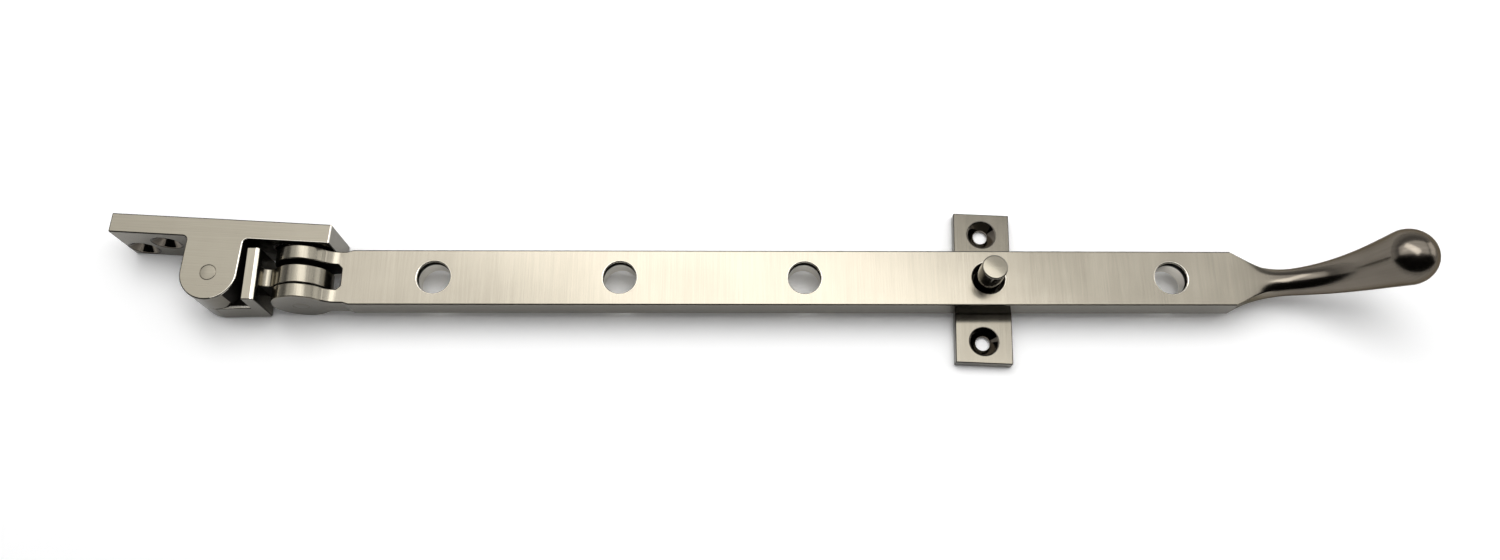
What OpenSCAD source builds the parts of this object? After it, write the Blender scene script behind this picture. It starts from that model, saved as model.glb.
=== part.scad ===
// Casement stay: a swivelling, lifting arm with five peg holes and a bulb handle, and its peg plate.
// Origin: underside of the peg plate on the axis of the peg. +X runs along the arm to the handle.
// +Z points up, away from the sill that the peg plate is screwed to.

/* [Stay arm] */
// Width of the flat bar
arm_w = 15; // [13:0.5:18]
// Thickness of the flat bar
arm_t = 7.2; // [6:0.2:8.4]
// Distance from one peg hole to the next
hole_pitch = 48; // [36:1:60]
// Number of peg holes
hole_count = 5; // [4:1:7]
// Which hole sits over the peg, counted from the fork
hole_on_peg = 4; // [1:1:4]
// Diameter of a peg hole
hole_d = 8.5; // [7.8:0.1:10]
// Distance from the fork pin to the first hole
fork_to_hole = 34; // [26:1:50]
// Distance from the last hole to the end of the flat bar
hole_to_end = 16.3; // [10:0.1:30]

/* [Fork] */
// Width over both tines
fork_w = 14; // [12.8:0.2:15]
// Width of the slot between the tines
slot_w = 6.6; // [5.4:0.1:7.4]
// Distance that the slot runs past the knuckle's round
slot_run = 2.3; // [1:0.1:5]
// Corner cut in the closed end of the slot
slot_corner = 1; // [0.2:0.1:2]
// How far the knuckle stays inside the bracket's height, above and below
knuckle_inset = 0.1; // [0.05:0.05:1]
// Offset of the knuckle's two arcs, which gives its faint ridge
knuckle_ridge = 0.45; // [0.1:0.05:1]
// Fillet radius from the knuckle to the top of the bar
top_fillet = 5; // [3:0.5:8]
// Fillet radius from the knuckle to the underside of the bar
under_fillet = 3; // [2:0.5:6]
// Diameter of the fork pin
fork_pin_d = 4; // [3:0.1:5]

/* [Handle] */
// Diameter of the neck at its slimmest
neck_d = 7.1; // [6:0.1:8]
// Diameter of the bulb
bulb_d = 14.2; // [11:0.1:18]
// Length along the curve from the bar to the slimmest place
neck_run = 16; // [12:0.5:24]
// Length along the curve from the bar to the middle of the bulb
bulb_run = 46; // [38:0.5:60]
// Downward slope where the handle leaves the bar, in degrees
dip_angle = 6; // [0:1:10]
// Upward slope at the bulb, in degrees
rise_angle = 57; // [20:1:65]
// Length along the curve over which the slope changes
rise_run = 43; // [30:1:50]
// Angle of the bulb's taper where it meets the ball, in degrees
bulb_taper = 9.5; // [6:0.5:12]

/* [Swivel] */
// Thickness of the tongue between the tines
tongue_w = 4.8; // [4:0.1:5.2]
// Gap left between the tongue and the near tine
tine_gap = 0.3; // [0.2:0.05:0.6]
// Amount that the tongue's round is smaller than the knuckle's
tongue_inset = 0.1; // [0.05:0.05:0.6]
// Gap from the round of the bracket's ear to the shoulder
shoulder_gap = 1.6; // [1:0.1:3]
// Thickness of the shoulder
shoulder_t = 3.2; // [2.4:0.1:5]
// Length of the shoulder across the arm
shoulder_w = 14; // [12:0.2:15]
// Round along the shoulder's outer edges
shoulder_round = 1; // [0.4:0.1:1.4]
// Space from the shoulder to the round of the knuckle
stem_gap = 1.7; // [1:0.1:4]
// Radius of the waist between shoulder and tongue
waist_r = 2; // [1.4:0.1:2.4]
// How far the swivel stays inside the bracket's height, above and below
swivel_inset = 0.6; // [0.2:0.1:1.5]

/* [Sash bracket] */
// Height of the bracket
bracket_h = 16; // [15:0.5:19]
// Thickness of the bracket's plate
bracket_t = 5.2; // [4:0.1:7]
// Length of the plate to the left of the pin
bracket_left = 27.5; // [26:0.5:36]
// Length of the plate to the right of the pin
bracket_right = 29; // [27:0.5:36]
// Radius of the ear's round end, half the ear's width
ear_r = 7.2; // [5.5:0.1:8]
// Fillet radius where the ear meets the plate
ear_fillet = 1.2; // [0.4:0.1:1.6]
// Gap from the ear down to the lug under it
lap_gap = 0.2; // [0.1:0.05:0.5]
// Angle between the plate and the closed arm, in degrees
bracket_angle = 3.2; // [0:0.2:4]
// Gap from the plate's corner to the side of the fork
bracket_gap = 0.27; // [0.2:0.01:1]
// Diameter of the bracket pin
bracket_pin_d = 4; // [3:0.1:5]

/* [Peg plate] */
// Length of the plate, across the arm
plate_l = 42; // [38:1:60]
// Width of the plate, along the arm
plate_w = 15; // [12:0.5:20]
// Thickness of the plate
plate_t = 3.2; // [2.6:0.1:4]
// Distance between the two screw holes
plate_screws = 30.1; // [27:0.1:32]
// Turn of the plate from square to the arm, in degrees
plate_angle = 2.5; // [0:0.5:4]
// Gap from the plate up to the arm that lies on it
seat_gap = 0.4; // [0.1:0.05:0.6]

/* [Peg] */
// Diameter of the peg
peg_d = 6.6; // [5:0.1:7]
// Height that the peg stands above its plate
peg_stand = 16; // [12:0.5:22]
// Edge cut round the top of the peg
peg_chamfer = 0.4; // [0.1:0.1:1]
// Diameter of the riveted tail in the plate
tail_d = 4.5; // [3:0.1:5]

/* [Screw holes] */
// Diameter of a screw hole
screw_d = 3.8; // [3:0.1:4.2]
// Diameter of a countersink at the surface
sink_d = 7.6; // [6.4:0.1:8]
// Distance from the bracket's ends to the outer screw holes
screw_end = 4.3; // [4.1:0.1:5]
// Distance from the bracket's underside to the outer screw holes
screw_low = 4.4; // [4.1:0.1:5]
// Distance along the plate from an outer to an inner screw hole
screw_step = 8; // [7.4:0.1:8.4]
// Height of the inner screw holes above the outer ones
screw_rise = 5; // [4.4:0.1:6]

/* [Fits] */
// Radial clearance of a pin that the swivel turns on
run_fit = 0.05; // [0.01:0.01:0.1]
// Edge cut at the ends of the two pins
pin_chamfer = 0.2; // [0.1:0.05:0.4]

/* [Hidden] */
$fn = 96;
past = 1;                 // how far a cutting shape runs past the surface it cuts
skin = 0.05;              // how far the handle's sides start inside the bar's
root_run = 3;             // how far the handle's root reaches into the bar
root_step = 0.05;         // first station of the handle, just outside the bar
widen_run = 1.5;          // length of the step from the fork's width to the bar's
satin = [0.66, 0.63, 0.57];
worn = [0.60, 0.57, 0.52];

// Heights
arm_low = plate_t + seat_gap;
arm_mid = arm_low + arm_t / 2;
arm_top = arm_low + arm_t;
hinge_z = bracket_h / 2;

// Knuckle and tongue: each is the overlap of two discs set a little apart
knuckle_r = hinge_z - knuckle_inset;
knuckle_arc = sqrt(pow(knuckle_r, 2) + pow(knuckle_ridge, 2));
tongue_r = knuckle_r - tongue_inset;
tongue_arc = sqrt(pow(tongue_r, 2) + pow(knuckle_ridge, 2));

// Places along the arm
fork_x = -(fork_to_hole + (hole_on_peg - 1) * hole_pitch);
slot_end = fork_x + knuckle_arc + slot_run;
bar_end = (hole_count - hole_on_peg) * hole_pitch + hole_to_end;

// Swivel: its tongue lies against the near tine, so the whole swivel is a little off the arm's middle
shoulder_in = ear_r + shoulder_gap;
shoulder_out = shoulder_in + shoulder_t;
swivel_reach = shoulder_out + stem_gap + knuckle_r;
pin_x = fork_x - swivel_reach;
pin_y = tine_gap - (slot_w - tongue_w) / 2;
swivel_low = swivel_inset;
swivel_top = bracket_h - swivel_inset;

// Bracket: its inner face just clears the side of the fork at the plate's right-hand corner
plate_in = (fork_w / 2 + bracket_gap - pin_y + bracket_right * sin(bracket_angle)) / cos(bracket_angle);
plate_out = plate_in + bracket_t;
ear_low = hinge_z + lap_gap / 2;
lug_top = hinge_z - lap_gap / 2;

// The fork widens to the bar only beyond the reach of the bracket's corner when the arm lifts
corner_x = pin_x + bracket_right * cos(bracket_angle) + plate_in * sin(bracket_angle);
widen_from = fork_x + norm([corner_x - fork_x, hinge_z]);

// Handle: stations along its curve
ring_sides = 32;
ring_step = 1.5;
curve_step = 0.5;
tilt_run = 8;             // length over which the sections lean square to the curve
soft_run = 13;            // length over which the bar's rectangle turns into a round
ball_r = bulb_d / 2;
taper_end = bulb_run - ball_r * sin(bulb_taper);
taper_r = ball_r * cos(bulb_taper);
taper_power = tan(bulb_taper) * (taper_end - neck_run) / (taper_r - neck_d / 2);

function ease(t) = let (u = min(max(t, 0), 1)) u * u * (3 - 2 * u);
function mix(a, b, t) = a + (b - a) * t;
function slope(s) = mix(-dip_angle, rise_angle, ease(s / rise_run));
// A place on the curve is the sum of short straight steps
function curve_at(s) =
    let (n = max(1, ceil(s / curve_step)), d = s / n, a = [for (i = [0:n - 1]) slope((i + 0.5) * d)])
    [bar_end + d * sum([for (v = a) cos(v)]), arm_mid + d * sum([for (v = a) sin(v)])];
function sum(v) = v * [for (x = v) 1];
function half_width(s) =
    s < neck_run ? mix(neck_d / 2, arm_w / 2 - skin, pow(1 - max(s, 0) / neck_run, 2))
    : half_height(s);
function half_height(s) =
    s < neck_run ? mix(arm_t / 2 - skin, neck_d / 2, ease(s / neck_run))
    : s < taper_end ? mix(neck_d / 2, taper_r, pow((s - neck_run) / (taper_end - neck_run), taper_power))
    : sqrt(pow(ball_r, 2) - pow(s - bulb_run, 2));
// A cross-section turns from the bar's rectangle into a circle
function section(s) =
    let (c = curve_at(max(s, 0)), tilt = slope(s) * ease(s / tilt_run), soft = ease(s / soft_run))
    [for (k = [0:ring_sides - 1])
        let (q = 360 * k / ring_sides, full = 1 / max(abs(cos(q)), abs(sin(q))), m = mix(full, 1, soft))
        [c[0] + min(s, 0) - half_height(s) * sin(q) * m * sin(tilt),
         half_width(s) * cos(q) * m,
         c[1] + half_height(s) * sin(q) * m * cos(tilt)]];

module lens(arc, ridge) {
    intersection() {
        translate([-ridge, 0]) circle(arc);
        translate([ridge, 0]) circle(arc);
    }
}

// Fills the corner between a round of radius arc about the origin and a flat at height level
module round_to_flat(arc, level, fillet) {
    x = sqrt(pow(arc + fillet, 2) - pow(level + fillet, 2));
    difference() {
        polygon([[0, 0], [x, level + fillet], [x, level - past], [0, level - past]]);
        translate([x, level + fillet]) circle(fillet);
    }
}

module screw_hole(depth) {
    translate([0, 0, -past]) cylinder(h = depth + 2 * past, d = screw_d);
    translate([0, 0, depth - (sink_d - screw_d) / 2])
        cylinder(h = (sink_d - screw_d) / 2, d1 = screw_d, d2 = sink_d);
    translate([0, 0, depth]) cylinder(h = past, d = sink_d);
}

// A pin standing on the origin, with both ends cut
module pin(length, d) {
    cylinder(h = pin_chamfer, d1 = d - 2 * pin_chamfer, d2 = d);
    translate([0, 0, pin_chamfer]) cylinder(h = length - 2 * pin_chamfer, d = d);
    translate([0, 0, length - pin_chamfer]) cylinder(h = pin_chamfer, d1 = d, d2 = d - 2 * pin_chamfer);
}

module at_bracket_pin() {
    translate([pin_x, pin_y, 0]) children();
}

module ear_outline() {
    circle(ear_r);
    translate([-ear_r, 0]) square([2 * ear_r, plate_in + bracket_t / 2]);
    for (side = [-1, 1])
        translate([side * ear_r, plate_in]) scale([side, 1])
            difference() {
                translate([-past, -ear_fillet]) square([ear_fillet + past, ear_fillet + past]);
                translate([ear_fillet, -ear_fillet]) circle(ear_fillet);
            }
}

module bracket_screws() {
    for (side = [-1, 1], inner = [0, 1]) {
        reach = side < 0 ? bracket_left : bracket_right;
        x = side * (reach - screw_end - inner * screw_step);
        z = screw_low + inner * screw_rise;
        translate([x, plate_out, z]) rotate([90, 0, 0]) screw_hole(bracket_t);
    }
}

module sash_bracket() {
    color(satin) at_bracket_pin() rotate(-bracket_angle) difference() {
        union() {
            translate([-bracket_left, plate_in, 0]) cube([bracket_left + bracket_right, bracket_t, bracket_h]);
            translate([0, 0, ear_low]) linear_extrude(bracket_h - ear_low) ear_outline();
        }
        translate([0, 0, ear_low - past]) cylinder(h = bracket_h, d = bracket_pin_d);
        bracket_screws();
    }
}

module bracket_pin() {
    color(worn) at_bracket_pin() translate([0, 0, swivel_low]) pin(bracket_h - swivel_low, bracket_pin_d);
}

// Side outline of the shoulder, with its two outer edges rounded
module shoulder_outline() {
    translate([shoulder_in, swivel_low])
        square([shoulder_t - shoulder_round, swivel_top - swivel_low]);
    translate([shoulder_in, swivel_low + shoulder_round])
        square([shoulder_t, swivel_top - swivel_low - 2 * shoulder_round]);
    for (z = [swivel_low + shoulder_round, swivel_top - shoulder_round])
        translate([shoulder_out - shoulder_round, z]) circle(shoulder_round);
}

// Side outline of the tongue and of the waisted stem that carries it
module tongue_outline() {
    waist_x = shoulder_out + waist_r - swivel_reach;
    waist_z = sqrt(pow(tongue_arc + waist_r, 2) - pow(waist_x - knuckle_ridge, 2));
    translate([swivel_reach, hinge_z]) {
        lens(tongue_arc, knuckle_ridge);
        difference() {
            polygon([[knuckle_ridge, 0], [waist_x, waist_z], [waist_x - waist_r - past, waist_z],
                     [waist_x - waist_r - past, -waist_z], [waist_x, -waist_z]]);
            for (z = [-waist_z, waist_z]) translate([waist_x, z]) circle(waist_r);
        }
    }
}

module swivel() {
    color(satin) at_bracket_pin() difference() {
        union() {
            translate([0, 0, swivel_low]) linear_extrude(lug_top - swivel_low) {
                circle(ear_r);
                translate([0, -shoulder_w / 2]) square([shoulder_in + shoulder_t / 2, shoulder_w]);
            }
            translate([0, shoulder_w / 2, 0]) rotate([90, 0, 0]) linear_extrude(shoulder_w) shoulder_outline();
            translate([0, tongue_w / 2, 0]) rotate([90, 0, 0]) linear_extrude(tongue_w) tongue_outline();
        }
        cylinder(h = bracket_h, r = bracket_pin_d / 2 + run_fit);
        translate([swivel_reach, tongue_w, hinge_z]) rotate([90, 0, 0])
            cylinder(h = 2 * tongue_w, r = fork_pin_d / 2 + run_fit);
    }
}

// Side outline of the bar and its knuckle
module arm_outline() {
    translate([fork_x, arm_low]) square([bar_end - fork_x, arm_t]);
    translate([fork_x, hinge_z]) {
        lens(knuckle_arc, knuckle_ridge);
        translate([-knuckle_ridge, 0]) round_to_flat(knuckle_arc, arm_top - hinge_z, top_fillet);
        translate([-knuckle_ridge, 0]) mirror([0, 1])
            round_to_flat(knuckle_arc, hinge_z - arm_low, under_fillet);
    }
}

// Plan outline: the fork is narrower than the bar
module arm_plan() {
    left = fork_x - 2 * knuckle_r;
    polygon([[left, -fork_w / 2], [widen_from, -fork_w / 2], [widen_from + widen_run, -arm_w / 2],
             [bar_end + past, -arm_w / 2], [bar_end + past, arm_w / 2],
             [widen_from + widen_run, arm_w / 2], [widen_from, fork_w / 2], [left, fork_w / 2]]);
}

module slot_plan() {
    left = fork_x - 2 * knuckle_r;
    half = slot_w / 2;
    polygon([[left, -half], [slot_end - slot_corner, -half], [slot_end, slot_corner - half],
             [slot_end, half - slot_corner], [slot_end - slot_corner, half], [left, half]]);
}

// Neck and bulb in one sweep along the curve, closed by a fan of triangles at each end
module handle() {
    stations = concat([-root_run, root_step], [for (s = [ring_step:ring_step:bulb_run]) s],
                      [for (a = [20:10:80]) bulb_run + ball_r * sin(a)]);
    rings = [for (s = stations) section(s)];
    last = (len(rings) - 1) * ring_sides;
    root = curve_at(0) - [root_run, 0];
    tip = curve_at(bulb_run + ball_r);
    points = concat([for (r = rings) each r], [[root[0], 0, root[1]], [tip[0], 0, tip[1]]]);
    walls = [for (a = [0:ring_sides:last - ring_sides], k = [0:ring_sides - 1])
        let (b = a + ring_sides, n = (k + 1) % ring_sides)
        each [[a + k, b + k, b + n], [a + k, b + n, a + n]]];
    back = [for (k = [0:ring_sides - 1]) [len(points) - 2, k, (k + 1) % ring_sides]];
    front = [for (k = [0:ring_sides - 1]) [len(points) - 1, last + (k + 1) % ring_sides, last + k]];
    polyhedron(points, concat(walls, back, front));
}

module bar() {
    difference() {
        intersection() {
            translate([0, arm_w, 0]) rotate([90, 0, 0]) linear_extrude(2 * arm_w) arm_outline();
            translate([0, 0, -past]) linear_extrude(bracket_h + 2 * past) arm_plan();
        }
        translate([0, 0, -past]) linear_extrude(bracket_h + 2 * past) slot_plan();
        for (i = [1:hole_count])
            translate([(i - hole_on_peg) * hole_pitch, 0, arm_low - past])
                cylinder(h = arm_t + 2 * past, d = hole_d);
        translate([fork_x, fork_w, hinge_z]) rotate([90, 0, 0]) cylinder(h = 2 * fork_w, d = fork_pin_d);
    }
}

module stay_arm() {
    color(satin) union() {
        bar();
        handle();
    }
}

module fork_pin() {
    color(worn) translate([fork_x, fork_w / 2, hinge_z]) rotate([90, 0, 0]) pin(fork_w, fork_pin_d);
}

module peg_plate() {
    color(satin) rotate(-plate_angle) difference() {
        translate([-plate_w / 2, -plate_l / 2, 0]) cube([plate_w, plate_l, plate_t]);
        translate([0, 0, -past]) cylinder(h = plate_t + 2 * past, d = tail_d);
        for (side = [-1, 1]) translate([0, side * plate_screws / 2, 0]) screw_hole(plate_t);
    }
}

module locating_peg() {
    peg_top = plate_t + peg_stand;
    color(satin) {
        cylinder(h = plate_t, d = tail_d);
        translate([0, 0, plate_t]) cylinder(h = peg_stand - peg_chamfer, d = peg_d);
        translate([0, 0, peg_top - peg_chamfer])
            cylinder(h = peg_chamfer, d1 = peg_d, d2 = peg_d - 2 * peg_chamfer);
    }
}

sash_bracket();
bracket_pin();
swivel();
stay_arm();
fork_pin();
peg_plate();
locating_peg();
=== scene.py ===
# %% [markdown]
# # A casement stay in satin nickel
#
# A casement stay holds a side-hung window open at one of several angles. A flat bar with five
# holes swivels and lifts on a bracket that is screwed to the window, and one of its holes drops
# over a peg on the window frame. The CAD model holds every size and every joint, and it is loaded
# as a frame that stays as it is. This script gives each part the rounded edges, the brushed grain
# and the polish of the real one. Each piece rides on one body and stands for one node.

# %% Load the frame
import math

import bmesh
import bpy
from mathutils import Matrix, Vector


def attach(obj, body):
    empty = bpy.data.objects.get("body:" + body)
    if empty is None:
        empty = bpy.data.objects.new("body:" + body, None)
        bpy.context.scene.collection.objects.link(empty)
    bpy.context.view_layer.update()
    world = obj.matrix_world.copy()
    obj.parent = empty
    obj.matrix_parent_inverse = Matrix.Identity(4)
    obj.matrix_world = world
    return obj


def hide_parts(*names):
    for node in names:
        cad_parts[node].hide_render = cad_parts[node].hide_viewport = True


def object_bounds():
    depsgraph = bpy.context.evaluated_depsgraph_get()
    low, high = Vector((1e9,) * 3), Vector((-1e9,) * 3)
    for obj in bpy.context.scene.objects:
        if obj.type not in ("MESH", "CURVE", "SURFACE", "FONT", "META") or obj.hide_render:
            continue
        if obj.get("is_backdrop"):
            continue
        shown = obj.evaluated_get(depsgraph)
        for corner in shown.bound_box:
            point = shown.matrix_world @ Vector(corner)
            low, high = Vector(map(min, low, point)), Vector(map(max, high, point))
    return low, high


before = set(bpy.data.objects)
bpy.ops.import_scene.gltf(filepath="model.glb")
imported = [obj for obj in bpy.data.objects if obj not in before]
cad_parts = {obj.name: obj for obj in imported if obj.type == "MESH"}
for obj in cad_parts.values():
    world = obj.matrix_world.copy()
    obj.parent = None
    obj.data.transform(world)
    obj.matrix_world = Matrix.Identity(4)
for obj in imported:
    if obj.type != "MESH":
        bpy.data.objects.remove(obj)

cad_box = [list(corner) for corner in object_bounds()]
print("CAD box in mm:", [[round(1000 * v, 2) for v in corner] for corner in cad_box])

# %% [markdown]
# ## Sizes
#
# Blender works in metres, but a fitting like this is drawn in millimetres. All the sizes below
# are in millimetres, as on the drawing, and a mesh is scaled once, when it is made.

# %% Sizes of the stay in millimetres
MM = 0.001
ARM_W, ARM_T, ARM_LOW = 15.0, 7.2, 3.6
ARM_TOP = ARM_LOW + ARM_T
HOLE_PITCH, HOLE_COUNT, HOLE_ON_PEG, HOLE_D = 48.0, 5, 4, 8.5
LAST_HOLE_IN = 16.3  # from the last hole to the end of the bar
BAR_END = (HOLE_COUNT - HOLE_ON_PEG) * HOLE_PITCH + LAST_HOLE_IN
FORK_X, HINGE_Z = -178.0, 8.0
FORK_W, SLOT_W, SLOT_END, SLOT_CORNER = 14.0, 6.6, -167.787, 1.0
KNUCKLE_R, RIDGE, TOP_FILLET, UNDER_FILLET = 7.9, 0.45, 5.0, 3.0
PIN_X, PIN_Y, PIN_D = -199.6, -0.6, 4.0
EAR_R, EAR_LOW, EAR_FILLET = 7.2, 8.1, 1.2
BRACKET_H, BRACKET_T, BRACKET_LEFT, BRACKET_RIGHT = 16.0, 5.2, 27.5, 29.0
BRACKET_ANGLE, PLATE_IN = 3.2, 9.5036
SHOULDER_IN, SHOULDER_OUT, SHOULDER_W, SHOULDER_ROUND = 8.8, 12.0, 14.0, 1.0
SWIVEL_LOW, SWIVEL_TOP, LUG_TOP = 0.6, 15.4, 7.9
SWIVEL_REACH, TONGUE_W, TONGUE_R, WAIST_R, RUN_FIT = 21.6, 4.8, 7.8, 2.0, 0.05
PLATE_L, PLATE_W, PLATE_T, PLATE_SCREWS, PLATE_ANGLE = 42.0, 15.0, 3.2, 30.1, 2.5
PEG_D, PEG_STAND, TAIL_R = 6.6, 16.0, 2.25
SCREW_D, SINK_D = 3.8, 7.6
SCREW_IN, SCREW_APART, SCREW_LOW, SCREW_RISE = 4.3, 8.0, 4.4, 5.0  # a staggered pair on the bracket
print("bar from fork pin to bar end:", round(BAR_END - FORK_X, 2), "mm")

# %% [markdown]
# ## Camera
#
# The photograph was taken from nearly overhead, a little in front of the stay. A pinhole camera
# was fitted to the holes, the plate and the bracket, which gave its place, its three turns and its
# lens. With the camera set first, every later step can be checked against the photograph.

# %% The camera
CAMERA_AT = Vector((-68.448, -104.181, 304.848)) * MM
CAMERA_TURNS = (19.3907, -1.1464, 0.0813)


def add_object(name, data):
    """Puts a mesh, a camera or a lamp into the scene."""
    made = bpy.data.objects.new(name, data)
    bpy.context.scene.collection.objects.link(made)
    return made


camera = add_object("camera", bpy.data.cameras.new("camera"))
pitch, yaw, roll = (Matrix.Rotation(math.radians(a), 4, axis) for a, axis in zip(CAMERA_TURNS, "XYZ"))
camera.matrix_world = Matrix.Translation(CAMERA_AT) @ pitch @ yaw @ roll
camera.data.lens, camera.data.sensor_width = 28.841, 36.0
camera.data.clip_start, camera.data.clip_end = 0.01, 20.0
bpy.context.scene.camera = camera
print("camera", round(camera.location.z * 1000), "mm above the sill, lens", camera.data.lens, "mm")

# %% [markdown]
# ## Helpers for machined shapes
#
# Nearly every part of a stay is a flat outline pushed through a thickness, with round holes cut
# through it. `prism` extrudes an outline, and `turned` spins a profile round an axis, as a lathe
# does. Both build a closed mesh and turn its faces outwards. `drill` is the plain round cutter
# for a pin's hole.


# %% Outlines, prisms and turned shapes
def arc(x, y, radius, start, end, step=3.75):
    """Points along an arc, with its angles in degrees."""
    count = max(1, math.ceil(abs(end - start) / step))
    angles = [math.radians(start + (end - start) * i / count) for i in range(count + 1)]
    return [(x + radius * math.cos(a), y + radius * math.sin(a)) for a in angles]


def mirrored(points):
    """The other half of an outline, which runs back on the far side of the X axis."""
    return [(x, -y) for x, y in reversed(points)]


def mesh_object(name, bm):
    """A finished bmesh, in millimetres, as an object at the origin."""
    bmesh.ops.remove_doubles(bm, verts=bm.verts, dist=1e-4)
    bmesh.ops.recalc_face_normals(bm, faces=bm.faces)
    bmesh.ops.scale(bm, vec=(MM, MM, MM), verts=bm.verts)
    mesh = bpy.data.meshes.new(name)
    bm.to_mesh(mesh)
    bm.free()
    return add_object(name, mesh)


def prism(name, outline, low, high, plane="XY"):
    """An outline in the XY or XZ plane, pushed from low to high along the third axis."""
    bm = bmesh.new()
    first, last = ([bm.verts.new((x, y, h) if plane == "XY" else (x, h, y)) for x, y in outline]
                   for h in (low, high))
    bm.faces.new(first)
    bm.faces.new(last[::-1])
    for i in range(len(outline)):
        j = (i + 1) % len(outline)
        bm.faces.new((first[i], first[j], last[j], last[i]))
    return mesh_object(name, bm)


def turned(name, profile, sides=96):
    """A profile of (radius, height) points turned round the Z axis."""
    bm = bmesh.new()
    angles = [2 * math.pi * i / sides for i in range(sides)]
    rings = [[bm.verts.new((r * math.cos(a), r * math.sin(a), z)) for a in (angles if r > 0 else [0])]
             for r, z in profile]
    for a, b in zip(rings, rings[1:]):
        for i in range(sides):
            j = (i + 1) % sides
            corners = [a[i % len(a)], a[j % len(a)], b[j % len(b)], b[i % len(b)]]
            bm.faces.new(list(dict.fromkeys(corners)))
    return mesh_object(name, bm)


PIN_SIDES = 64


def drill(name, radius, low, high):
    """A plain round cutter."""
    return turned(name, [(0, low), (radius, low), (radius, high), (0, high)], PIN_SIDES)


print("a quarter of a round takes", len(arc(0, 0, 1, 0, 90)), "points")


# %% Moving, cutting and joining shapes
def place(piece, *steps):
    """Moves the mesh, in millimetres, while the object stays at the origin."""
    for step in steps:
        matrix = step.copy()
        matrix.translation *= MM
        piece.data.transform(matrix)
    return piece


def lay_across(piece, x, y, z):
    """Lays an upright piece along Y and moves it to a point."""
    return place(piece, Matrix.Rotation(math.radians(90), 4, "X"), Matrix.Translation((x, y, z)))


def settle(piece):
    """Turns what the modifiers make into the object's plain mesh."""
    graph = bpy.context.evaluated_depsgraph_get()
    old = piece.data
    piece.data = bpy.data.meshes.new_from_object(piece.evaluated_get(graph))
    piece.modifiers.clear()
    bpy.data.meshes.remove(old)
    piece.data.name = piece.name
    return piece


def combine(piece, how, *tools):
    """Joins, cuts or keeps the shared part of closed shapes, and removes the tools."""
    for tool in tools:
        modifier = piece.modifiers.new(how.lower(), "BOOLEAN")
        modifier.object, modifier.operation, modifier.solver = tool, how, "EXACT"
    settle(piece)
    for tool in tools:
        bpy.data.objects.remove(tool)


print("helpers ready")

# %% [markdown]
# ## Softened edges
#
# No edge of a cast and buffed fitting is truly sharp, and the thin line that each one shows is
# most of what tells the eye that it sees metal. `soften` merges the flats that the cutting left in
# strips, and rounds the outer edges that turn by more than a set angle. The facets of a round and
# the inner corners stay as they are. The two faint ridges of a knuckle are too blunt for that, so
# each gets a dark hairline instead. The rounding and the hairlines are coloured near black: a
# painted dark reflection along the edges and painted shade along the ridges.
#
# One leaning normal at the corner of a large flat would show as a wedge of wrong light. So
# `even_normals` gives every corner of a flat its own true normal, and all the turning happens on
# the narrow strips of the rounding.

# %% Normals that keep the flats flat
FLAT_AREA = 6.5 * MM * MM
LEVEL = math.radians(0.5)
CREASE = math.radians(35)


def groups(faces, neighbours):
    """Gathers the faces that hang together, when neighbours() lists the ones beside a face."""
    seen = set()
    for first in faces:
        if first not in seen:
            seen.add(first)
            group, todo = [first], [first]
            while todo:
                fresh = [f for f in dict.fromkeys(neighbours(todo.pop())) if f not in seen]
                seen.update(fresh)
                group += fresh
                todo += fresh
            yield group


def flat_faces(bm):
    """The faces that belong to a large flat, also where the cutting left the flat in strips."""
    flats = groups(bm.faces, lambda face: [
        f for e in face.edges if len(e.link_faces) == 2 and e.calc_face_angle() < LEVEL
        for f in e.link_faces])
    return {face for flat in flats if sum(f.calc_area() for f in flat) > FLAT_AREA for face in flat}


def fans(vert, sharp):
    """The faces round a corner, in groups that no sharp edge divides."""
    return groups(vert.link_faces, lambda face: [
        f for e in face.edges if vert in e.verts and e not in sharp for f in e.link_faces])


def even_normals(piece, crisp):
    """Sets the shading normals. An edge that crisp() names shows as a line, however flat it is."""
    mesh = piece.data
    mesh.shade_smooth()
    bm = bmesh.new()
    bm.from_mesh(mesh)
    large = flat_faces(bm)
    sharp = {e for e in bm.edges if len(e.link_faces) != 2 or e.calc_face_angle() > CREASE or crisp(e)}
    corner = {(face.index, mesh.loops[i].vertex_index): i
              for face in mesh.polygons for i in face.loop_indices}
    normals = [Vector((0, 0, 1))] * len(mesh.loops)
    for vert in bm.verts:
        for fan in fans(vert, sharp):
            flats = [face.normal for face in fan if face in large]
            mean = sum((face.normal * face.calc_area() for face in fan), Vector()).normalized()
            for face in fan:
                choice = [face.normal] if face in large else flats or [mean]
                normals[corner[face.index, vert.index]] = max(choice, key=face.normal.dot).copy()
    mesh.normals_split_custom_set(normals)
    bm.free()


print("a flat counts as large above", round(FLAT_AREA / MM ** 2, 1), "square mm")

# %% Rounding the edges of a piece
SOFT_ANGLE, STRIP_ANGLE = math.radians(22), math.radians(0.4)
MERGE, HAIRLINE = 3e-5, 0.09
PLAIN, POLISHED, TOP, SHADE_PAINT, ROUNDED, BUFFED, BRIGHT, BORE = range(8)  # material slots of a piece


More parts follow.
